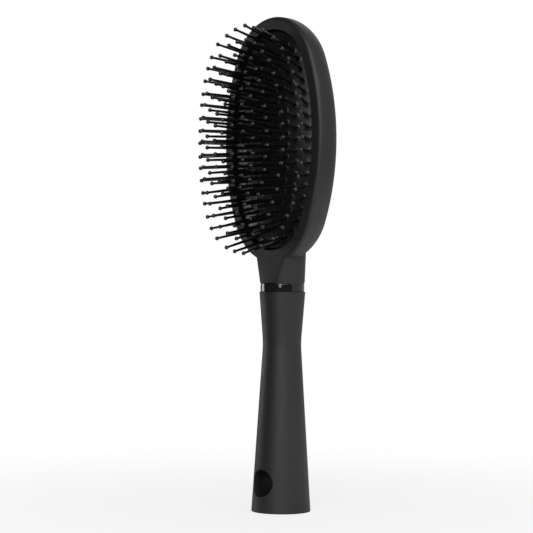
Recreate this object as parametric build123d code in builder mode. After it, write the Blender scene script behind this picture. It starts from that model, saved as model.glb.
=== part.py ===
"""Oval cushion hair brush: head, air cushion with ball-tipped pins, ferrule ring and hollow handle.

Frame: millimetres, +Z up from the flat end of the handle to the top of the head, the pins point
along -Y and X runs across the head.  The origin is the centre of the handle's flat end.  In
sketches on Plane.XZ, the offset of the plane is the height towards the pins.
"""

import os
from math import asin, atan2, cos, pi, radians, sin, sqrt

from build123d import *

# ---------------------------------------------------------------- handle
HANDLE_TOP = 106.5
WAIST_HEIGHT = 81.4
HANDLE_TOP_RADIUS = 11.2
WAIST_RADIUS = 9.25
HANDLE_END_RADIUS = 14.4
WAIST_BLEND = 45.0
TOP_EDGE_ROUND = 0.4
END_EDGE_ROUND = 1.0
SOCKET_TOP_RADIUS = 8.75
SOCKET_WAIST_RADIUS = 7.0
PLUG_SEAT_RADIUS = 11.9
HANG_HOLE_RADIUS = 6.55
HANG_HOLE_HEIGHT = 14.2
HANG_HOLE_EDGE_ROUND = 0.3

# ---------------------------------------------------------------- end plug
PLUG_HEIGHT = 25.0
PLUG_FLOOR = 2.6
PLUG_WALL = 1.6
PLUG_TUBE_WALL = 2.0
PLUG_EDGE_CHAMFER = 0.35

# ---------------------------------------------------------------- ferrule ring and neck
NECK_BOTTOM = 110.6
FERRULE_RADIUS = 10.7
FERRULE_CROWN = 0.13
FERRULE_EDGE_ROUND = 0.35
NECK_BOTTOM_RADIUS = 10.85
NECK_FACET_REACH = 9.45
NECK_EDGE_ROUND = 0.3
NECK_JOIN = 125.4
NECK_JOIN_SINK = 0.05
NECK_TOP = 133.5
NECK_TOP_FRONT = 6.0
NECK_JOIN_BACK = 10.4
NECK_TOP_BACK = 10.3
NECK_HALF_WIDTH = 11.5
NECK_FRONT_ROUND = 1.5
NECK_BACK_ROUND = 9.8
NECK_FACET_ANGLE = 33.0
NECK_CORNER_ANGLE = 7.0
NECK_SIDE_ANGLE = 95.0
NECK_BACK_ANGLE = 160.0

# ---------------------------------------------------------------- spigot inside the handle
SPIGOT_BOTTOM = 86.0
SPIGOT_CORE_RADIUS = 4.6
SPIGOT_CORE_TOP = 119.0
KEY_WIDTH = 2.4
KEY_LENGTH = 9.0
KEY_ROOT = 7.0
KEY_REACH = 9.3
KEY_GAP = 0.1
SEAT_GAP = 0.06
SOCKET_SLOPE = (SOCKET_TOP_RADIUS - SOCKET_WAIST_RADIUS) / (HANDLE_TOP - WAIST_HEIGHT)
SPIGOT_TOP_RADIUS = SOCKET_TOP_RADIUS - SEAT_GAP
SPIGOT_BOTTOM_RADIUS = SPIGOT_TOP_RADIUS - SOCKET_SLOPE * (HANDLE_TOP - SPIGOT_BOTTOM)

# ---------------------------------------------------------------- head
HEAD_CENTRE = 180.1
HEAD_HALF_LENGTH = 59.5
HEAD_HALF_WIDTH = 35.0
HEAD_END_RADIUS = 29.0
HEAD_FRONT = 8.1
HEAD_BACK = 9.4
BACK_SLOPE = 0.63
BACK_STOCK = 3.0
FRONT_EDGE_ROUND = 2.0
BACK_EDGE_ROUND = 13.5
RIM_WIDTH = 6.1
RIM_INNER_ROUND = 0.35
POCKET_FLOOR = -4.0
GROOVE_DEPTH = 1.2
GROOVE_LOW = -0.3
GROOVE_HIGH = 1.6

# ---------------------------------------------------------------- cushion
CUSHION_GAP = 0.3
CUSHION_WALL = 1.2
CUSHION_APEX = 14.2
CROWN_RADIUS = 95.0
CROWN_HALF_WIDTH = 10.0
SHOULDER_RADIUS = 31.0
SHOULDER_START = CROWN_HALF_WIDTH / CROWN_RADIUS
SHOULDER_END = 0.78
CROWN_BACK = 3.0
LENGTHWISE_RADIUS = 180.0
LIP_WIDTH = 0.9
LIP_THICKNESS = 1.3
VENT_RADIUS = 0.6
VENT_OFFSET = -21.4

# ---------------------------------------------------------------- hoop inside the cushion's skirt
HOOP_GAP = 0.15
HOOP_WALL = 1.5
HOOP_TOP = 2.4
HOOP_FOOT_TOP = -0.4

# ---------------------------------------------------------------- pins
PIN_LENGTH = 18.5
PIN_ROOT_RADIUS = 0.8
PIN_TIP_RADIUS = 0.56
PIN_BALL_RADIUS = 1.0
PIN_BALL_MIDDLE = 1.3
PIN_FLANGE_RADIUS = 1.3
PIN_FLANGE_THICKNESS = 0.7
PIN_HOLE_GAP = 0.05
FLANGE_GAP = 0.1
PIN_LEAN = 1.8
PIN_TURN = 137.5
PIN_FIELD_CENTRE = HEAD_CENTRE - 0.85
RING_HALF_LENGTH = 49.0
RING_LENGTH_STEP = 6.0
RING_HALF_WIDTH = 25.8
RING_WIDTH_STEP = 4.8
RING_END_SHARE = 0.84
RING_END_SHARE_STEP = 0.07
PINS_PER_RING = [44, 38, 32, 24, 18]
HALF_STEP_RINGS = [2, 4]
CENTRE_ROW_COUNT = 7
CENTRE_ROW_PITCH = 5.95


# ================================================================ shared geometry


def side_arc(half_length, half_width, end_radius):
    """Radius of a four-arc oval's side arcs, and the angle at which they meet the end arcs."""
    reach = half_length - end_radius
    radius = (half_width**2 + reach**2 - end_radius**2) / (2 * (half_width - end_radius))
    return radius, atan2(reach, radius - half_width)


def head_oval(inset):
    """Face of the head's four-arc oval, drawn inwards by inset (outwards if negative)."""
    length = HEAD_HALF_LENGTH - inset
    width = HEAD_HALF_WIDTH - inset
    end = HEAD_END_RADIUS - inset
    side, joint = side_arc(length, width, end)
    joint_x = width - side + side * cos(joint)
    joint_y = side * sin(joint)
    with BuildSketch(Plane.XY) as face:
        with BuildLine():
            ThreePointArc((joint_x, -joint_y), (width, 0), (joint_x, joint_y))
            ThreePointArc((joint_x, joint_y), (0, length), (-joint_x, joint_y))
            ThreePointArc((-joint_x, joint_y), (-width, 0), (-joint_x, -joint_y))
            ThreePointArc((-joint_x, -joint_y), (0, -length), (joint_x, -joint_y))
        make_face()
    return Pos(0, HEAD_CENTRE) * face.sketch


def crown(across):
    """Drop below the apex and slope (sine) of the cushion's cross profile, across mm from the middle."""
    if across <= CROWN_HALF_WIDTH:
        slope = across / CROWN_RADIUS
        return CROWN_RADIUS * (1 - sqrt(1 - slope**2)), slope
    slope = SHOULDER_START + (across - CROWN_HALF_WIDTH) / SHOULDER_RADIUS
    flat = sqrt(1 - SHOULDER_START**2)
    return CROWN_RADIUS * (1 - flat) + SHOULDER_RADIUS * (flat - sqrt(1 - slope**2)), slope


def cushion_point(x, z):
    """Point on the cushion's outer skin above (x, z), and the outward normal there."""
    drop, slope = crown(abs(x))
    reach = LENGTHWISE_RADIUS - drop
    bend = asin((z - HEAD_CENTRE) / reach)
    height = CUSHION_APEX - LENGTHWISE_RADIUS + reach * cos(bend)
    flat = sqrt(1 - slope**2)
    side = slope if x >= 0 else -slope
    return Vector(x, -height, z), Vector(side, -flat * cos(bend), flat * sin(bend))


def ring_points(ring):
    """Places of one oval ring of pins, evenly spaced along the ring, as (x, z) pairs."""
    length = RING_HALF_LENGTH - ring * RING_LENGTH_STEP
    width = RING_HALF_WIDTH - ring * RING_WIDTH_STEP
    end = (RING_END_SHARE - ring * RING_END_SHARE_STEP) * width
    side, joint = side_arc(length, width, end)
    side_run = side * joint
    quarter = side_run + end * (pi / 2 - joint)
    pitch = 4 * quarter / PINS_PER_RING[ring]
    start = pitch / 2 if ring in HALF_STEP_RINGS else 0
    points = []
    for number in range(PINS_PER_RING[ring]):
        half, run = divmod(start + number * pitch, 2 * quarter)
        along = min(run, 2 * quarter - run)
        if along <= side_run:
            angle = along / side
            x = width - side + side * cos(angle)
            z = side * sin(angle)
        else:
            angle = joint + (along - side_run) / end
            x = end * cos(angle)
            z = length - end + end * sin(angle)
        x = -x if run > quarter else x
        points.append((-x, -z) if half else (x, z))
    return points


def pin_places(points):
    """Locations on the cushion's skin, each with its z axis near the outward normal.

    The rubber holds the pins a little unevenly, so each leans its own small amount and way.
    """
    places = []
    for number, (x, z) in enumerate(points):
        base, normal = cushion_point(x, PIN_FIELD_CENTRE + z)
        upright = Plane(origin=base, x_dir=(0, normal.Z, -normal.Y), z_dir=normal).location
        turn = radians(number * PIN_TURN)
        lean = PIN_LEAN * (number % 4) / 3
        places.append(upright * Rot(lean * cos(turn), lean * sin(turn), 0))
    return places


centre_row = [
    (0.0, (step - (CENTRE_ROW_COUNT - 1) / 2) * CENTRE_ROW_PITCH) for step in range(CENTRE_ROW_COUNT)
]
pin_groups = {f"pins_ring_{ring + 1}": ring_points(ring) for ring in range(len(PINS_PER_RING))}
pin_groups["pins_centre_row"] = centre_row
os.makedirs("parts", exist_ok=True)


# ================================================================ head with neck and spigot


def circle_point(radius, angle):
    """Point on a circle about the brush's axis, with the angle taken from the pin side."""
    return (radius * sin(radians(angle)), -radius * cos(radians(angle)))


def neck_bottom_face():
    """Lower end of the neck: round, nearly flat on the pin side, in eight arcs like the upper end."""
    corner = NECK_FACET_ANGLE + NECK_CORNER_ANGLE
    half = [NECK_FACET_ANGLE, corner, NECK_SIDE_ANGLE, NECK_BACK_ANGLE]
    turns = [-NECK_FACET_ANGLE] + half + [360 - turn for turn in reversed(half)]
    with BuildLine(Plane.XY.offset(NECK_BOTTOM)) as outline:
        for start, end in zip(turns, turns[1:]):
            middle = (start + end) / 2
            reach = NECK_FACET_REACH if middle == 0 else NECK_BOTTOM_RADIUS
            first = circle_point(NECK_BOTTOM_RADIUS, start)
            last = circle_point(NECK_BOTTOM_RADIUS, end)
            ThreePointArc(first, circle_point(reach, middle), last)
    return Face(outline.wire())


def neck_section(height, front, back):
    """Section of the neck inside the head: flat pin side, tight corners, broadly rounded back."""
    corner_x = NECK_HALF_WIDTH - NECK_FRONT_ROUND
    corner_y = NECK_FRONT_ROUND - front
    back_x = NECK_HALF_WIDTH - NECK_BACK_ROUND
    back_y = back - NECK_BACK_ROUND
    front_turn = NECK_FRONT_ROUND * sin(pi / 4)
    back_turn = NECK_BACK_ROUND * sin(pi / 4)
    with BuildLine(Plane.XY.offset(height)) as outline:
        Line((-corner_x, -front), (corner_x, -front))
        for side in (1, -1):
            flank = side * NECK_HALF_WIDTH
            front_middle = (side * (corner_x + front_turn), corner_y - front_turn)
            back_middle = (side * (back_x + back_turn), back_y + back_turn)
            ThreePointArc((side * corner_x, -front), front_middle, (flank, corner_y))
            Line((flank, corner_y), (flank, back_y))
            ThreePointArc((flank, back_y), back_middle, (side * back_x, back))
        Line((back_x, back), (-back_x, back))
    return Face(outline.wire())


neck_sections = [
    neck_bottom_face(),
    neck_section(NECK_JOIN, HEAD_FRONT - NECK_JOIN_SINK, NECK_JOIN_BACK),
    neck_section(NECK_TOP, NECK_TOP_FRONT, NECK_TOP_BACK),
]
head_outline = head_oval(0)
pocket_outline = head_oval(RIM_WIDTH)
groove_outline = head_oval(RIM_WIDTH - GROOVE_DEPTH)
# the back slopes a little, so that the head is thicker towards the neck
back_plane = Plane(
    origin=(0, HEAD_BACK, HEAD_CENTRE + HEAD_HALF_LENGTH),
    x_dir=(1, 0, 0),
    z_dir=(0, cos(radians(BACK_SLOPE)), sin(radians(BACK_SLOPE))),
)

with BuildPart() as head_body:
    with BuildSketch(Plane.XZ.offset(-HEAD_BACK - BACK_STOCK)):
        add(head_outline)
    extrude(amount=HEAD_BACK + BACK_STOCK + HEAD_FRONT)
    split(bisect_by=back_plane, keep=Keep.BOTTOM)
    fillet(head_body.faces().sort_by(Axis.Y)[-1].edges(), BACK_EDGE_ROUND)
    fillet(head_body.faces().sort_by(Axis.Y)[0].edges(), FRONT_EDGE_ROUND)
    # neck, from the round end at the ferrule into the head
    loft(sections=neck_sections, ruled=True)
    fillet(head_body.faces().sort_by(Axis.Z)[0].edges(), NECK_EDGE_ROUND)
    # pocket for the cushion, with the undercut groove that holds the cushion's lip
    with BuildSketch(Plane.XZ.offset(POCKET_FLOOR)):
        add(pocket_outline)
    extrude(amount=HEAD_FRONT - POCKET_FLOOR, mode=Mode.SUBTRACT)
    rim_face = head_body.faces().filter_by(Axis.Y).sort_by(Axis.Y)[0]
    fillet(rim_face.inner_wires()[0].edges(), RIM_INNER_ROUND)
    with BuildSketch(Plane.XZ.offset(GROOVE_LOW)):
        add(groove_outline)
    extrude(amount=GROOVE_HIGH - GROOVE_LOW, mode=Mode.SUBTRACT)
    # spigot that the handle is bonded to, with its key and its core
    with BuildSketch(Plane.XZ):
        with BuildLine():
            Polyline(
                (0, NECK_BOTTOM),
                (SPIGOT_TOP_RADIUS, NECK_BOTTOM),
                (SPIGOT_TOP_RADIUS, HANDLE_TOP),
                (SPIGOT_BOTTOM_RADIUS, SPIGOT_BOTTOM),
                (0, SPIGOT_BOTTOM),
                close=True,
            )
        make_face()
    revolve(axis=Axis.Z)
    with Locations((0, KEY_ROOT, HANDLE_TOP)):
        Box(KEY_WIDTH, KEY_REACH - KEY_ROOT, KEY_LENGTH, align=(Align.CENTER, Align.MIN, Align.MAX))
    with Locations((0, 0, SPIGOT_BOTTOM)):
        Cylinder(
            SPIGOT_CORE_RADIUS,
            SPIGOT_CORE_TOP - SPIGOT_BOTTOM,
            align=(Align.CENTER, Align.CENTER, Align.MIN),
            mode=Mode.SUBTRACT,
        )
head_body.part.label = "head_body"
export_step(head_body.part, "parts/head_body.step")


# ================================================================ ferrule, handle sleeve, end plug


def plug_radius(height):
    """Outer radius of the end plug at a height, just inside the sleeve's lower bore."""
    slope = (PLUG_SEAT_RADIUS - SOCKET_WAIST_RADIUS) / WAIST_HEIGHT
    return PLUG_SEAT_RADIUS - SEAT_GAP - slope * height


def is_outer_hang_rim(edge):
    """True for the two edges where the hang hole meets the sleeve's outer skin."""
    middle = edge.bounding_box().center()
    low = abs(middle.Z - HANG_HOLE_HEIGHT) < HANG_HOLE_RADIUS / 4
    outside = edge.bounding_box().max.Y > PLUG_SEAT_RADIUS or edge.bounding_box().min.Y < -PLUG_SEAT_RADIUS
    return low and outside and edge.bounding_box().size.X < 3 * HANG_HOLE_RADIUS


with BuildPart() as plug_envelope:
    Cone(
        plug_radius(0),
        plug_radius(PLUG_HEIGHT),
        PLUG_HEIGHT,
        align=(Align.CENTER, Align.CENTER, Align.MIN),
    )

with BuildPart() as plug_tube:
    with BuildSketch(Plane.XZ):
        with Locations((0, HANG_HOLE_HEIGHT)):
            Circle(HANG_HOLE_RADIUS + PLUG_TUBE_WALL)
    extrude(amount=2 * HANDLE_END_RADIUS, both=True)
    add(plug_envelope.part, mode=Mode.INTERSECT)

ferrule_edge = FERRULE_RADIUS - FERRULE_CROWN
ferrule_middle = (HANDLE_TOP + NECK_BOTTOM) / 2

with BuildPart() as ferrule:
    with BuildSketch(Plane.XZ) as ferrule_section:
        with BuildLine():
            Polyline(
                (ferrule_edge, NECK_BOTTOM),
                (SOCKET_TOP_RADIUS, NECK_BOTTOM),
                (SOCKET_TOP_RADIUS, HANDLE_TOP),
                (ferrule_edge, HANDLE_TOP),
            )
            crown_point = (FERRULE_RADIUS, ferrule_middle)
            ThreePointArc((ferrule_edge, HANDLE_TOP), crown_point, (ferrule_edge, NECK_BOTTOM))
        make_face()
        fillet(ferrule_section.vertices().sort_by(Axis.X)[-2:], FERRULE_EDGE_ROUND)
    revolve(axis=Axis.Z)
ferrule.part.label = "ferrule"
export_step(ferrule.part, "parts/ferrule.step")

with BuildPart() as handle_sleeve:
    with BuildSketch(Plane.XZ) as sleeve_section:
        with BuildLine():
            Polyline(
                (PLUG_SEAT_RADIUS, 0),
                (HANDLE_END_RADIUS, 0),
                (WAIST_RADIUS, WAIST_HEIGHT),
                (HANDLE_TOP_RADIUS, HANDLE_TOP),
                (SOCKET_TOP_RADIUS, HANDLE_TOP),
                (SOCKET_WAIST_RADIUS, WAIST_HEIGHT),
                close=True,
            )
        make_face()
        corners = sleeve_section.vertices()
        fillet(corners.sort_by_distance((WAIST_RADIUS, WAIST_HEIGHT))[0], WAIST_BLEND)
        fillet(corners.sort_by_distance((HANDLE_END_RADIUS, 0))[0], END_EDGE_ROUND)
        fillet(corners.sort_by_distance((HANDLE_TOP_RADIUS, HANDLE_TOP))[0], TOP_EDGE_ROUND)
    revolve(axis=Axis.Z)
    # slot for the spigot's key
    with Locations((0, KEY_ROOT, HANDLE_TOP)):
        Box(
            KEY_WIDTH + 2 * KEY_GAP,
            KEY_REACH + KEY_GAP - KEY_ROOT,
            KEY_LENGTH + KEY_GAP,
            align=(Align.CENTER, Align.MIN, Align.MAX),
            mode=Mode.SUBTRACT,
        )
    # hang hole through both walls
    with BuildSketch(Plane.XZ):
        with Locations((0, HANG_HOLE_HEIGHT)):
            Circle(HANG_HOLE_RADIUS)
    extrude(amount=2 * HANDLE_END_RADIUS, both=True, mode=Mode.SUBTRACT)
    outer_rims = handle_sleeve.edges().filter_by(is_outer_hang_rim)
    fillet(outer_rims, HANG_HOLE_EDGE_ROUND)
handle_sleeve.part.label = "handle_sleeve"
export_step(handle_sleeve.part, "parts/handle_sleeve.step")

with BuildPart() as end_plug:
    # tapered envelope of the plug
    with BuildSketch(Plane.XZ):
        with BuildLine():
            Polyline(
                (0, 0),
                (plug_radius(0) - PLUG_EDGE_CHAMFER, 0),
                (plug_radius(PLUG_EDGE_CHAMFER), PLUG_EDGE_CHAMFER),
                (plug_radius(PLUG_HEIGHT), PLUG_HEIGHT),
                (0, PLUG_HEIGHT),
                close=True,
            )
        make_face()
    revolve(axis=Axis.Z)
    # core it from the top, above the floor
    with BuildSketch(Plane.XZ):
        with BuildLine():
            Polyline(
                (0, PLUG_FLOOR),
                (plug_radius(PLUG_FLOOR) - PLUG_WALL, PLUG_FLOOR),
                (plug_radius(PLUG_HEIGHT) - PLUG_WALL, PLUG_HEIGHT),
                (0, PLUG_HEIGHT),
                close=True,
            )
        make_face()
    revolve(axis=Axis.Z, mode=Mode.SUBTRACT)
    # cross tube that lines the hang hole
    add(plug_tube.part)
    with BuildSketch(Plane.XZ):
        with Locations((0, HANG_HOLE_HEIGHT)):
            Circle(HANG_HOLE_RADIUS)
    extrude(amount=2 * HANDLE_END_RADIUS, both=True, mode=Mode.SUBTRACT)
end_plug.part.label = "end_plug"
export_step(end_plug.part, "parts/end_plug.step")


# ================================================================ cushion and its hoop


def crown_section(depth):
    """Face between the cushion's cross profile, depth below its skin, and a line behind the lip."""
    turn = asin(SHOULDER_START)
    end = asin(SHOULDER_END)
    crown_y = CROWN_RADIUS - CUSHION_APEX
    shoulder_x = CROWN_HALF_WIDTH * (1 - SHOULDER_RADIUS / CROWN_RADIUS)
    shoulder_y = crown_y - (CROWN_RADIUS - SHOULDER_RADIUS) * cos(turn)
    crown_reach = CROWN_RADIUS - depth
    reach = SHOULDER_RADIUS - depth
    joint = (crown_reach * sin(turn), crown_y - crown_reach * cos(turn))
    middle = (turn + end) / 2
    shoulder = (shoulder_x + reach * sin(middle), shoulder_y - reach * cos(middle))
    edge = (shoulder_x + reach * sin(end), shoulder_y - reach * cos(end))
    with BuildSketch(Plane.XY) as face:
        with BuildLine():
            ThreePointArc((-joint[0], joint[1]), (0, depth - CUSHION_APEX), joint)
            ThreePointArc(joint, shoulder, edge)
            Line(edge, (edge[0], CROWN_BACK))
            Line((edge[0], CROWN_BACK), (-edge[0], CROWN_BACK))
            Line((-edge[0], CROWN_BACK), (-edge[0], edge[1]))
            ThreePointArc((-edge[0], edge[1]), (-shoulder[0], shoulder[1]), (-joint[0], joint[1]))
        make_face()
    return face.sketch


def domed_plug(depth, inset, foot):
    """Solid oval with the cushion's doubly curved front, depth below its skin, from foot upwards."""
    section = crown_section(depth)
    outline = head_oval(inset)
    with BuildPart() as plug:
        with BuildSketch(Plane.XY.offset(HEAD_CENTRE)):
            add(section)
        revolve(axis=bend_axis)
        with BuildSketch(Plane.XZ.offset(foot)):
            add(outline)
        extrude(amount=2 * CUSHION_APEX, mode=Mode.INTERSECT)
    return plug.part


bend_axis = Axis((0, LENGTHWISE_RADIUS - CUSHION_APEX, HEAD_CENTRE), (1, 0, 0))
cushion_inset = RIM_WIDTH + CUSHION_GAP
cushion_body = domed_plug(0, cushion_inset, 0)
cushion_hollow = domed_plug(CUSHION_WALL, cushion_inset + CUSHION_WALL, 0)
lip_outline = head_oval(cushion_inset - LIP_WIDTH)
skirt_outline = head_oval(cushion_inset + CUSHION_WALL)
hoop_outline = head_oval(cushion_inset + CUSHION_WALL + HOOP_GAP)
hoop_hole = head_oval(cushion_inset + CUSHION_WALL + HOOP_GAP + HOOP_WALL)
hoop_foot = head_oval(cushion_inset)
all_pins = [place for points in pin_groups.values() for place in pin_places(points)]

with BuildPart() as cushion:
    add(cushion_body)
    add(cushion_hollow, mode=Mode.SUBTRACT)
    # lip that sits in the head's groove
    with BuildSketch(Plane.XZ):
        add(lip_outline)
        add(skirt_outline, mode=Mode.SUBTRACT)
    extrude(amount=LIP_THICKNESS)
    # holes for the pins and the air vent
    with Locations(*all_pins):
        Cylinder(PIN_ROOT_RADIUS + PIN_HOLE_GAP, 4 * CUSHION_WALL, mode=Mode.SUBTRACT)
    with Locations(*pin_places([(0, VENT_OFFSET)])):
        Cylinder(VENT_RADIUS, 4 * CUSHION_WALL, mode=Mode.SUBTRACT)
cushion.part.label = "cushion"
export_step(cushion.part, "parts/cushion.step")

with BuildPart() as cushion_hoop:
    with BuildSketch(Plane.XZ.offset(POCKET_FLOOR)):
        add(hoop_outline)
        add(hoop_hole, mode=Mode.SUBTRACT)
    extrude(amount=HOOP_TOP - POCKET_FLOOR)
    # foot under the cushion's skirt
    with BuildSketch(Plane.XZ.offset(POCKET_FLOOR)):
        add(hoop_foot)
        add(hoop_hole, mode=Mode.SUBTRACT)
    extrude(amount=HOOP_FOOT_TOP - POCKET_FLOOR)
cushion_hoop.part.label = "cushion_hoop"
export_step(cushion_hoop.part, "parts/cushion_hoop.step")


# ================================================================ pins

flange_top = -CUSHION_WALL - FLANGE_GAP
flange_bottom = flange_top - PIN_FLANGE_THICKNESS
ball_seat = PIN_LENGTH - sqrt(PIN_BALL_RADIUS**2 - PIN_TIP_RADIUS**2)
ball_side = (PIN_BALL_RADIUS * sin(PIN_BALL_MIDDLE), PIN_LENGTH + PIN_BALL_RADIUS * cos(PIN_BALL_MIDDLE))

with BuildPart() as pin:
    with BuildSketch(Plane.XZ):
        with BuildLine():
            Polyline(
                (0, PIN_LENGTH + PIN_BALL_RADIUS),
                (0, flange_bottom),
                (PIN_FLANGE_RADIUS, flange_bottom),
                (PIN_FLANGE_RADIUS, flange_top),
                (PIN_ROOT_RADIUS, flange_top),
                (PIN_ROOT_RADIUS, 0),
                (PIN_TIP_RADIUS, ball_seat),
            )
            ThreePointArc((PIN_TIP_RADIUS, ball_seat), ball_side, (0, PIN_LENGTH + PIN_BALL_RADIUS))
        make_face()
    revolve(axis=Axis.Z)

for name, points in pin_groups.items():
    with BuildPart() as group:
        with Locations(*pin_places(points)):
            add(pin.part)
    group.part.label = name
    export_step(group.part, f"parts/{name}.step")
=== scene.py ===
"""Studio scene and finished surfaces of the cushion hair brush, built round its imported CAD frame.

The brush stands upright on its flat handle end.  The pins point along -Y and the camera looks at
the brush from between the pins and its +X side.  Lengths are in metres.  Azimuths are measured
from -Y towards +X.
"""

import math

import bmesh
import bpy
import numpy as np
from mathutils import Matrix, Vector
from mathutils.geometry import delaunay_2d_cdt


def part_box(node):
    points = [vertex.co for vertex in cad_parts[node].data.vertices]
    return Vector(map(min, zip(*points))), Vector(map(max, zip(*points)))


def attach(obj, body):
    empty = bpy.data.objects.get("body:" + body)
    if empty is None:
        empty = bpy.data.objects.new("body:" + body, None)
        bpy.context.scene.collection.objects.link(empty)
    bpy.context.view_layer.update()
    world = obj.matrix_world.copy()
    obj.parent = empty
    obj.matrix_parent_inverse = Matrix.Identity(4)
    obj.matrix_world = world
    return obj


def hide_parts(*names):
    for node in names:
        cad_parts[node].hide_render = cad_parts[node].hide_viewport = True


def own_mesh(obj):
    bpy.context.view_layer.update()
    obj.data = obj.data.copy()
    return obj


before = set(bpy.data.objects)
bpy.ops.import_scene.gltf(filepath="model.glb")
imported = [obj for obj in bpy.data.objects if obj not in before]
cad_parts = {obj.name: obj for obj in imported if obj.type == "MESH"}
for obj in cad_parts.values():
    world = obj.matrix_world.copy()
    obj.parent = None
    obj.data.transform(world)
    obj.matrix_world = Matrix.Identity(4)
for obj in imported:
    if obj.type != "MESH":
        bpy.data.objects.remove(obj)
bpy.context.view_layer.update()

MM = 0.001
WHITE = (1, 1, 1, 1)
PIN_NODES = sorted(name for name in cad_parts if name.startswith("pins_"))

# ---------------------------------------------------------------- camera
CAMERA_AZIMUTH = math.radians(48)
CAMERA_DISTANCE = 0.9
CAMERA_HEIGHT = 0.1188
CAMERA_LENS = 124.9
CAMERA_SHIFT = -0.0301
CAMERA_ROLL = math.radians(-0.4)
CAMERA_REACH = 50

# ---------------------------------------------------------------- studio
FLOOR_RADIUS = 0.5
FLOOR_SIDES = 96
FLOOR_COLOUR = (0.8, 0.8, 0.8, 1)
# the floor's glow starts at this share at the brush's foot and is full at the far distance
FLOOR_GLOW = 0.78
FLOOR_FADE = (0.03, 0.35)
# strength of the glow as the brush sees it, on the floor's dark side and on its bright side
FLOOR_BOUNCE = (0.1, 1.1)
FLOOR_BRIGHT_SIDE = math.radians(110)
FLOOR_SIDE_BLEND = (-0.1, 0.1)
# the surround as the brush sees it: a backdrop behind the brush, in a dim room
BACKDROP_LIGHT = 0.43
ROOM_LIGHT = 0.03
BACKDROP_EDGE = (0.1, 0.25)
# name: azimuth, elevation, distance, size, brightness
SOFTBOXES = {
    "left_strip": (-74, -4, 1.2, (0.42, 0.8), 2.4),
    "front_strip": (36, 7, 1.2, (0.25, 0.3), 3.2),
    "key_softbox": (46, 33, 1.2, (1.5, 0.87), 1.75),
    "key_core": (46, 27, 1.15, (0.32, 0.26), 8),
    "side_softbox": (105, 30, 1.2, (0.42, 0.66), 1.7),
    "back_softbox": (215, 35, 1.3, (1.0, 0.6), 0.8),
}
SOFTBOX_AIM = (0, 0, 0.13)
# watts per square metre of softbox for a brightness of 1
SOFTBOX_WATTS = 4

# ---------------------------------------------------------------- materials
# the middle part of a noise texture's range, which holds nearly all of it
NOISE_SPAN = (0.3, 0.7)

# ---------------------------------------------------------------- cushion
HEAD_CENTRE = 0.1801
CROWN_RADIUS = 95 * MM
CROWN_HALF_WIDTH = 10 * MM
SHOULDER_RADIUS = 31 * MM
LENGTHWISE_RADIUS = 180 * MM
PAD_HALF_LENGTH = 53.1 * MM
PAD_HALF_WIDTH = 28.6 * MM
PAD_END_RADIUS = 22.6 * MM
EDGE_ROUND = 1.0 * MM
EDGE_STEPS = 6
STEEPEST_EDGE = 0.98
SKIRT_FOOT = 1.5 * MM
MEMBRANE = 1.1 * MM
HOLE_RADIUS = 0.85 * MM
BOSS_HEIGHT = 0.28 * MM
BOSS_FLAT = 1.05 * MM
BOSS_FOOT = 1.9 * MM
VENT_RADIUS = 0.6 * MM
VENT_OFFSET = -22.25 * MM
SHARP_ANGLE = math.radians(50)

# the pin's lower end lies this far under the skin, and this much of it shows where its axis is
FOOT_DEPTH = 2.0 * MM
FOOT_SLICE = 1.0 * MM

# ---------------------------------------------------------------- cushion's mesh
EDGE_POINTS = 360
RING_POINTS = 24
COLLAR_RINGS = (
    HOLE_RADIUS, 0.95 * MM, BOSS_FLAT, 1.3 * MM, 1.5 * MM, 1.7 * MM, BOSS_FOOT, 2.2 * MM
)
VENT_RINGS = (VENT_RADIUS, 0.75 * MM, 1.0 * MM, 1.4 * MM)
GRID_STEP = 1.15 * MM
GRID_CLEAR_OF_HOLES = 2.5 * MM
GRID_CLEAR_OF_RIM = 0.7 * GRID_STEP
# a triangle whose middle is nearer a hole's centre than this share of its radius is in the hole
HOLE_SHARE = 0.75
TRIANGLE_TOLERANCE = 1e-6
WELD_DIGITS = 6


# ================================================================ node trees


class Nodes:
    """Short calls for building a node tree."""

    def __init__(self, tree):
        self.tree = tree

    def add(self, kind, **settings):
        node = self.tree.nodes.new(kind)
        for key, value in settings.items():
            setattr(node, key, value)
        return node

    def link(self, source, target):
        self.tree.links.new(source, target)

    def remap(self, source, span, target, smooth=False):
        """A node that takes source's span to the target range."""
        node = self.add("ShaderNodeMapRange")
        if smooth:
            node.interpolation_type = "SMOOTHSTEP"
        node.inputs["From Min"].default_value = span[0]
        node.inputs["From Max"].default_value = span[1]
        node.inputs["To Min"].default_value = target[0]
        node.inputs["To Max"].default_value = target[1]
        self.link(source, node.inputs["Value"])
        return node

    def along(self, place, direction):
        """How far place reaches along direction."""
        product = self.add("ShaderNodeVectorMath", operation="DOT_PRODUCT")
        product.inputs[1].default_value = direction
        self.link(place, product.inputs[0])
        return product.outputs["Value"]

    def mix(self, factor, first, second):
        """The first shader at factor 0, the second at factor 1."""
        node = self.add("ShaderNodeMixShader")
        self.link(factor, node.inputs["Fac"])
        self.link(first, node.inputs[1])
        self.link(second, node.inputs[2])
        return node.outputs["Shader"]

    def camera_ray(self):
        return self.add("ShaderNodeLightPath").outputs["Is Camera Ray"]


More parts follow.
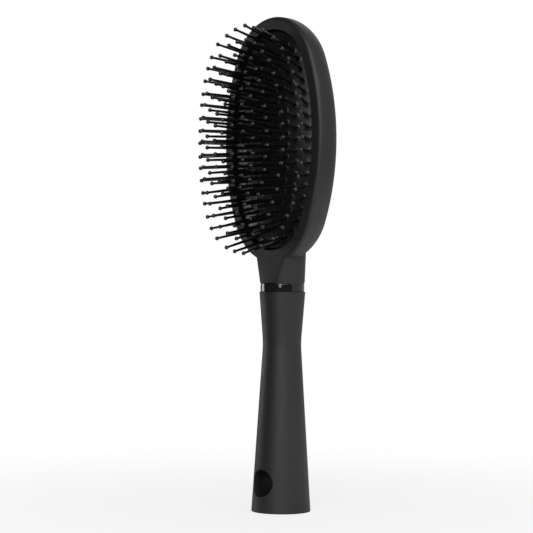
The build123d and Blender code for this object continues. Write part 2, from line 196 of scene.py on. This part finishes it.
class MaterialNodes(Nodes):
    """A new material's node tree, with calls for its Principled shader."""

    def __init__(self, name):
        self.material = bpy.data.materials.new(name)
        self.material.use_nodes = True
        super().__init__(self.material.node_tree)
        self.shader = self.tree.nodes["Principled BSDF"]
        self.place = self.add("ShaderNodeTexCoord").outputs["Object"]

    def set(self, **values):
        """Constants on the shader's own sockets, by name with underscores for spaces."""
        for key, value in values.items():
            self.shader.inputs[key.replace("_", " ")].default_value = value

    def noise(self, size, detail=2.0, stretch=(1, 1, 1)):
        """Noise whose features are about size metres, as a factor from 0 to 1."""
        mapping = self.add("ShaderNodeMapping")
        mapping.inputs["Scale"].default_value = stretch
        self.link(self.place, mapping.inputs["Vector"])
        noise = self.add("ShaderNodeTexNoise")
        noise.inputs["Scale"].default_value = 1 / size
        noise.inputs["Detail"].default_value = detail
        self.link(mapping.outputs["Vector"], noise.inputs["Vector"])
        return noise.outputs["Fac"]

    def colour(self, factor, dark, light):
        ramp = self.add("ShaderNodeValToRGB")
        stops = ramp.color_ramp.elements
        stops[0].position, stops[1].position = NOISE_SPAN
        stops[0].color = (*dark, 1)
        stops[1].color = (*light, 1)
        self.link(factor, ramp.inputs["Fac"])
        self.link(ramp.outputs["Color"], self.shader.inputs["Base Color"])

    def roughness(self, factor, low, high):
        spread = self.remap(factor, NOISE_SPAN, (low, high))
        self.link(spread.outputs["Result"], self.shader.inputs["Roughness"])

    def bump(self, layers):
        """Bump from (height factor, depth in metres) layers, one on the other."""
        normal = None
        for factor, depth in layers:
            bump = self.add("ShaderNodeBump")
            bump.inputs["Distance"].default_value = depth
            self.link(factor, bump.inputs["Height"])
            if normal:
                self.link(normal, bump.inputs["Normal"])
            normal = bump.outputs["Normal"]
        self.link(normal, self.shader.inputs["Normal"])


# ================================================================ materials


def soft_touch():
    """Soft-touch lacquer: black with a satin sheen, a fine even grain and faint clouding."""
    nodes = MaterialNodes("soft_touch_lacquer")
    cloud = nodes.noise(18 * MM, 3)
    nodes.colour(cloud, (0.0084, 0.0084, 0.0091), (0.0106, 0.0106, 0.0114))
    nodes.roughness(nodes.noise(6 * MM, 4), 0.5, 0.56)
    nodes.set(Specular_IOR_Level=0.5)
    nodes.bump([(nodes.noise(0.9 * MM, 2), 0.004 * MM), (nodes.noise(0.16 * MM, 3), 0.0035 * MM)])
    return nodes.material


def gloss_ring():
    """Polished black moulding with fine hairlines that run round it."""
    nodes = MaterialNodes("gloss_black_ring")
    nodes.colour(nodes.noise(5 * MM), (0.006, 0.006, 0.007), (0.010, 0.010, 0.011))
    hairlines = nodes.noise(0.6 * MM, 4, stretch=(0.15, 0.15, 6))
    nodes.roughness(hairlines, 0.07, 0.13)
    nodes.set(Specular_IOR_Level=0.5, Coat_Weight=0.4, Coat_Roughness=0.05)
    nodes.bump([(hairlines, 0.0006 * MM)])
    return nodes.material


def pin_nylon():
    """Glossy black nylon with slight unevenness from moulding."""
    nodes = MaterialNodes("black_nylon")
    nodes.colour(nodes.noise(3 * MM), (0.002, 0.002, 0.002), (0.004, 0.004, 0.004))
    nodes.roughness(nodes.noise(0.8 * MM, 3), 0.07, 0.12)
    nodes.set(Specular_IOR_Level=0.6)
    nodes.bump([(nodes.noise(0.5 * MM, 2), 0.003 * MM)])
    return nodes.material


def cushion_rubber():
    """Satin black rubber with a fine moulded grain."""
    nodes = MaterialNodes("matt_black_rubber")
    nodes.colour(nodes.noise(9 * MM, 4), (0.0020, 0.0020, 0.0021), (0.0038, 0.0038, 0.0040))
    nodes.roughness(nodes.noise(2.5 * MM, 4), 0.34, 0.44)
    nodes.set(Specular_IOR_Level=0.34)
    nodes.bump([(nodes.noise(0.7 * MM, 3), 0.012 * MM), (nodes.noise(0.18 * MM, 2), 0.006 * MM)])
    return nodes.material


def moulded_plastic(name, dark, light):
    """Plain matt moulding with a sparked texture; dark and light are grey levels."""
    nodes = MaterialNodes(name)
    nodes.colour(nodes.noise(7 * MM, 3), (dark,) * 3, (light,) * 3)
    nodes.roughness(nodes.noise(1.5 * MM, 3), 0.42, 0.55)
    nodes.set(Specular_IOR_Level=0.45)
    nodes.bump([(nodes.noise(0.35 * MM, 3), 0.01 * MM)])
    return nodes.material


def finish_cad_nodes():
    """Gives every CAD node that stays its finished material."""
    lacquer = soft_touch()
    finishes = {
        "head_body": lacquer,
        "handle_sleeve": lacquer,
        "ferrule": gloss_ring(),
        "end_plug": moulded_plastic("black_plug_plastic", 0.003, 0.006),
        "cushion_hoop": moulded_plastic("inner_plastic", 0.012, 0.02),
    }
    nylon = pin_nylon()
    for name in PIN_NODES:
        finishes[name] = nylon
    for name, material in finishes.items():
        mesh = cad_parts[name].data
        mesh.materials.clear()
        mesh.materials.append(material)


# ================================================================ pins, read from the CAD frame


def loose_parts(obj):
    """Lists of points, one list for each loose part of a mesh, with doubled corners joined."""
    mesh = obj.data
    points = np.empty(len(mesh.vertices) * 3)
    mesh.vertices.foreach_get("co", points)
    points = points.reshape(-1, 3)
    edges = np.empty(len(mesh.edges) * 2, dtype=int)
    mesh.edges.foreach_get("vertices", edges)
    places, same = np.unique(np.round(points, WELD_DIGITS), axis=0, return_inverse=True)
    ends = same.reshape(-1)[edges].reshape(-1, 2)
    label = np.arange(len(places))
    while True:
        low = np.minimum(label[ends[:, 0]], label[ends[:, 1]])
        after = label.copy()
        np.minimum.at(after, ends[:, 0], low)
        np.minimum.at(after, ends[:, 1], low)
        after = after[after]
        if np.array_equal(after, label):
            break
        label = after
    return [places[label == value] for value in np.unique(label)]


def pin_feet():
    """For every pin, the point where its axis leaves the cushion's skin, and its direction."""
    feet = []
    for name in PIN_NODES:
        for points in loose_parts(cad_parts[name]):
            middle = points.mean(0)
            axis = np.linalg.svd(points - middle, full_matrices=False)[2][0]
            if axis[1] > 0:
                axis = -axis
            along = (points - middle) @ axis
            foot = points[along < along.min() + FOOT_SLICE]
            centre = (foot.min(0) + foot.max(0)) / 2
            low = centre + axis * (along.min() - (centre - middle) @ axis)
            feet.append((Vector(low + axis * FOOT_DEPTH), Vector(axis)))
    return feet


# ================================================================ cushion's shape


def crown(across):
    """Drop below the apex and slope (sine) of the cushion's cross profile."""
    turn = CROWN_HALF_WIDTH / CROWN_RADIUS
    inner = np.minimum(across, CROWN_HALF_WIDTH) / CROWN_RADIUS
    drop = CROWN_RADIUS * (1 - np.sqrt(1 - inner**2))
    outer = turn + np.maximum(across - CROWN_HALF_WIDTH, 0) / SHOULDER_RADIUS
    drop = drop + SHOULDER_RADIUS * (math.sqrt(1 - turn**2) - np.sqrt(1 - outer**2))
    return drop, np.where(across < CROWN_HALF_WIDTH, inner, outer)


def skin(x, z, apex):
    """Points on the cushion's smooth skin above (x, z), and their outward normals."""
    drop, slope = crown(np.abs(x))
    reach = LENGTHWISE_RADIUS - drop
    bend = np.arcsin((z - HEAD_CENTRE) / reach)
    height = apex - LENGTHWISE_RADIUS + reach * np.cos(bend)
    flat = np.sqrt(1 - slope**2)
    normal = np.stack([np.sign(x) * slope, -flat * np.cos(bend), flat * np.sin(bend)], -1)
    return np.stack([x, -height, z], -1), normal


def oval(count):
    """Evenly spaced points (x, z) round the pad's four-arc oval, from its centre, and normals."""
    reach = PAD_HALF_LENGTH - PAD_END_RADIUS
    excess = PAD_HALF_WIDTH - PAD_END_RADIUS
    side = (PAD_HALF_WIDTH**2 + reach**2 - PAD_END_RADIUS**2) / (2 * excess)
    joint = math.atan2(reach, side - PAD_HALF_WIDTH)
    side_run = side * joint
    quarter = side_run + PAD_END_RADIUS * (math.pi / 2 - joint)
    points = []
    normals = []
    for step in range(count):
        run = 4 * quarter * step / count
        turn, rest = divmod(run, 2 * quarter)
        mirrored = rest > quarter
        rest = 2 * quarter - rest if mirrored else rest
        if rest < side_run:
            angle = rest / side
            point = [PAD_HALF_WIDTH - side + side * math.cos(angle), side * math.sin(angle)]
        else:
            angle = joint + (rest - side_run) / PAD_END_RADIUS
            point = [PAD_END_RADIUS * math.cos(angle), reach + PAD_END_RADIUS * math.sin(angle)]
        flip = -1 if mirrored else 1
        half = -1 if turn else 1
        points.append((half * flip * point[0], half * point[1]))
        normals.append((half * flip * math.cos(angle), half * math.sin(angle)))
    return np.array(points), np.array(normals)


def skin_rim(apex):
    """The skin's edge where its round begins: points (x, z), outward directions, slope (sine)."""
    outline, outward = oval(EDGE_POINTS)
    outline[:, 1] += HEAD_CENTRE
    normal = skin(outline[:, 0], outline[:, 1], apex)[1]
    slope = np.sqrt(1 - normal[:, 1] ** 2)
    return outline - outward * (EDGE_ROUND * (1 - slope))[:, None], outward, slope


def boss(distance):
    """Height of the rubber collar round a pin, at a distance from the pin's axis."""
    step = np.clip((distance - BOSS_FLAT) / (BOSS_FOOT - BOSS_FLAT), 0, 1)
    return BOSS_HEIGHT * (1 - step * step * (3 - 2 * step))


# ================================================================ cushion's mesh


def loop_edges(start, count):
    """Edges of the closed loop of count points from number start on."""
    return [(start + i, start + (i + 1) % count) for i in range(count)]


def ring_about(foot, axis, radius):
    """(x, z) of a circle about a pin's axis, laid on the skin."""
    first = axis.orthogonal().normalized()
    second = axis.cross(first)
    ring = []
    for step in range(RING_POINTS):
        angle = 2 * math.pi * step / RING_POINTS
        point = foot + radius * (math.cos(angle) * first + math.sin(angle) * second)
        ring.append((point.x, point.z))
    return ring


def depth_inside(places, rim, outward):
    """How far each of places (x, z) lies inside the rim."""
    nearest = [np.hypot(rim[:, 0] - x, rim[:, 1] - z).argmin() for x, z in places]
    return ((rim[nearest] - places) * outward[nearest]).sum(1)


def grid_points(rim, outward, openings):
    """An even grid of (x, z) inside the rim, clear of the collars and the vent."""
    rows = int(2 * PAD_HALF_LENGTH / GRID_STEP) + 2
    columns = int(2 * PAD_HALF_WIDTH / GRID_STEP) + 2
    places = np.array([
        (
            (column - columns / 2 + (row % 2) / 2) * GRID_STEP,
            HEAD_CENTRE + (row - rows / 2) * GRID_STEP * math.sqrt(0.75),
        )
        for row in range(rows)
        for column in range(columns)
    ])
    keep = depth_inside(places, rim, outward) > GRID_CLEAR_OF_RIM
    for foot, _, _ in openings:
        keep &= np.hypot(places[:, 0] - foot.x, places[:, 1] - foot.z) > GRID_CLEAR_OF_HOLES
    return [tuple(place) for place in places[keep]]


def flat_skin(rim, outward, openings):
    """The skin laid flat, with its holes: places (x, z) and triangles."""
    points = [tuple(place) for place in rim]
    edges = loop_edges(0, len(points))
    for foot, axis, radii in openings:
        edges += loop_edges(len(points), RING_POINTS)
        for radius in radii:
            points += ring_about(foot, axis, radius)
    points += grid_points(rim, outward, openings)

    scaled = [Vector((x / MM, (z - HEAD_CENTRE) / MM)) for x, z in points]
    found, _, faces, *_ = delaunay_2d_cdt(scaled, edges, [], 0, TRIANGLE_TOLERANCE)
    places = np.array([(v.x * MM, v.y * MM + HEAD_CENTRE) for v in found])
    faces = np.array(faces)
    middles = places[faces].mean(1)
    keep = depth_inside(middles, rim, outward) > 0
    for foot, _, radii in openings:
        distance = np.hypot(middles[:, 0] - foot.x, middles[:, 1] - foot.z)
        keep &= distance > HOLE_SHARE * radii[0]
    return places, faces[keep]


def raise_skin(places, feet, apex):
    """The flat places lifted to the dome, with a collar round every pin."""
    surface, normal = skin(places[:, 0], places[:, 1], apex)
    lift = np.zeros(len(places))
    for foot, axis in feet:
        across = np.linalg.norm(np.cross(surface - np.array(foot), np.array(axis)), axis=1)
        near = across < BOSS_FOOT
        lift[near] = np.maximum(lift[near], boss(across[near]))
    return surface + normal * lift[:, None]


def make_skin(feet, rim, outward, apex):
    """The domed skin up to its rim: a hole with a collar for every pin, and an air vent."""
    vent_place, vent_normal = skin(np.array([0.0]), np.array([HEAD_CENTRE + VENT_OFFSET]), apex)
    openings = [(foot, axis, COLLAR_RINGS) for foot, axis in feet]
    openings.append((Vector(vent_place[0]), Vector(vent_normal[0]), VENT_RINGS))
    places, faces = flat_skin(rim, outward, openings)
    mesh = bmesh.new()
    verts = [mesh.verts.new(point) for point in raise_skin(places, feet, apex)]
    for face in faces:
        mesh.faces.new([verts[i] for i in face])
    loose = [v for v in mesh.verts if not v.link_faces]
    bmesh.ops.delete(mesh, geom=loose, context="VERTS")
    return mesh


def bridge(mesh, first, second):
    """Quads between two closed rows of the same length."""
    count = len(first)
    for i in range(count):
        j = (i + 1) % count
        mesh.faces.new((first[i], first[j], second[j], second[i]))


def rolled_edge(mesh, rim, outward, slope):
    """Carries the skin's edge round into the upright skirt."""
    edge = [v for v in mesh.verts if v.is_boundary]
    places = np.array([(v.co.x, v.co.z) for v in edge])
    loop = [edge[np.hypot(places[:, 0] - x, places[:, 1] - z).argmin()] for x, z in rim]
    previous = loop
    for step in range(1, EDGE_STEPS + 1):
        row = []
        for start, direction, sine in zip(loop, outward, slope):
            begin = math.asin(min(sine, STEEPEST_EDGE))
            angle = begin + (math.pi / 2 - begin) * step / EDGE_STEPS
            out = EDGE_ROUND * (math.sin(angle) - math.sin(begin))
            down = EDGE_ROUND * (math.cos(begin) - math.cos(angle))
            move = Vector((direction[0] * out, down, direction[1] * out))
            row.append(mesh.verts.new(start.co + move))
        bridge(mesh, previous, row)
        previous = row
    foot = [mesh.verts.new((v.co.x, -SKIRT_FOOT, v.co.z)) for v in previous]
    bridge(mesh, previous, foot)


def face_outwards(mesh):
    """Turns the faces so that the top of the dome faces -Y."""
    bmesh.ops.recalc_face_normals(mesh, faces=mesh.faces)
    top = max(mesh.faces, key=lambda face: -face.calc_center_median().y)
    if top.normal.y > 0:
        bmesh.ops.reverse_faces(mesh, faces=mesh.faces)


def thicken(obj):
    """Gives the skin its thickness, inwards, and applies it."""
    membrane = obj.modifiers.new("membrane", "SOLIDIFY")
    membrane.thickness = MEMBRANE
    membrane.offset = -1
    depsgraph = bpy.context.evaluated_depsgraph_get()
    solid = bpy.data.meshes.new_from_object(obj.evaluated_get(depsgraph))
    obj.modifiers.clear()
    obj.data = solid
    solid.shade_smooth()
    solid.set_sharp_from_angle(angle=SHARP_ANGLE)


def make_cushion(feet, material):
    """The cushion piece: the domed membrane with its rolled edge and skirt."""
    apex = -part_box("cushion")[0].y
    rim, outward, slope = skin_rim(apex)
    mesh = make_skin(feet, rim, outward, apex)
    rolled_edge(mesh, rim, outward, slope)
    face_outwards(mesh)
    cushion = add_mesh("air_cushion", mesh)
    cushion.data.materials.append(material)
    thicken(cushion)
    return cushion


# ================================================================ studio


def add_object(name, data):
    obj = bpy.data.objects.new(name, data)
    bpy.context.scene.collection.objects.link(obj)
    return obj


def add_mesh(name, mesh):
    data = bpy.data.meshes.new(name)
    mesh.to_mesh(data)
    mesh.free()
    return add_object(name, data)


def towards(azimuth, elevation=0.0):
    """The direction from the brush at an azimuth and elevation."""
    level = math.cos(elevation)
    return Vector((math.sin(azimuth) * level, -math.cos(azimuth) * level, math.sin(elevation)))


def make_floor():
    """A pale disc that fades into the white surround.

    The camera sees the faded part as white.  The brush gets less light back from it, except on the
    floor's bright side.
    """
    disc = bmesh.new()
    bmesh.ops.create_circle(disc, cap_ends=True, segments=FLOOR_SIDES, radius=FLOOR_RADIUS)
    floor = add_mesh("studio_floor", disc)
    nodes = MaterialNodes("pale_floor")
    nodes.set(Base_Color=FLOOR_COLOUR, Roughness=0.9, Specular_IOR_Level=0.1)
    distance = nodes.add("ShaderNodeVectorMath", operation="LENGTH")
    nodes.link(nodes.place, distance.inputs[0])
    fade = nodes.remap(distance.outputs["Value"], FLOOR_FADE, (FLOOR_GLOW, 1), smooth=True)
    side = nodes.along(nodes.place, towards(FLOOR_BRIGHT_SIDE))
    bounce = nodes.remap(side, FLOOR_SIDE_BLEND, FLOOR_BOUNCE, smooth=True)
    strength = nodes.remap(nodes.camera_ray(), (0, 1), (0, 1))
    nodes.link(bounce.outputs["Result"], strength.inputs["To Min"])
    white = nodes.add("ShaderNodeEmission")
    nodes.link(strength.outputs["Result"], white.inputs["Strength"])
    lit = nodes.shader.outputs["BSDF"]
    surface = nodes.mix(fade.outputs["Result"], lit, white.outputs["Emission"])
    nodes.link(surface, nodes.tree.nodes["Material Output"].inputs["Surface"])
    floor.data.materials.append(nodes.material)


def make_surround():
    """White to the camera; the brush sees a backdrop behind it in a dim room."""
    world = bpy.data.worlds.new("studio_surround")
    bpy.context.scene.world = world
    world.use_nodes = True
    nodes = Nodes(world.node_tree)
    direction = nodes.add("ShaderNodeTexCoord").outputs["Generated"]
    back = nodes.along(direction, (0, 1, 0))
    glow = nodes.remap(back, BACKDROP_EDGE, (ROOM_LIGHT, BACKDROP_LIGHT), smooth=True)
    room = nodes.tree.nodes["Background"]
    room.inputs["Color"].default_value = WHITE
    nodes.link(glow.outputs["Result"], room.inputs["Strength"])
    seen = nodes.add("ShaderNodeBackground")
    seen.inputs["Color"].default_value = WHITE
    seen.inputs["Strength"].default_value = 1
    surface = nodes.mix(
        nodes.camera_ray(), room.outputs["Background"], seen.outputs["Background"]
    )
    nodes.link(surface, nodes.tree.nodes["World Output"].inputs["Surface"])


def make_lights():
    """Rectangular softboxes aimed at the brush's middle."""
    for name, (azimuth, elevation, distance, size, brightness) in SOFTBOXES.items():
        light = bpy.data.lights.new(name, "AREA")
        light.shape = "RECTANGLE"
        light.size, light.size_y = size
        light.energy = SOFTBOX_WATTS * brightness * size[0] * size[1]
        lamp = add_object(name, light)
        back = towards(math.radians(azimuth), math.radians(elevation))
        lamp.location = Vector(SOFTBOX_AIM) + back * distance
        lamp.rotation_mode = "QUATERNION"
        lamp.rotation_quaternion = back.to_track_quat("Z", "Y")


def make_camera():
    camera = add_object("camera", bpy.data.cameras.new("camera"))
    camera.data.lens = CAMERA_LENS
    camera.data.shift_x = CAMERA_SHIFT
    camera.data.clip_end = CAMERA_REACH
    camera.location = towards(CAMERA_AZIMUTH) * CAMERA_DISTANCE + Vector((0, 0, CAMERA_HEIGHT))
    camera.rotation_euler = (math.pi / 2, CAMERA_ROLL, CAMERA_AZIMUTH)
    bpy.context.scene.camera = camera


# ================================================================ build

make_camera()
make_floor()
make_surround()
make_lights()
finish_cad_nodes()
cushion = make_cushion(pin_feet(), cushion_rubber())
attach(cushion, "brush_body")
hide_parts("cushion")
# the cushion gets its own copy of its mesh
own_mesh(cushion)
bpy.context.scene.view_settings.view_transform = "Standard"
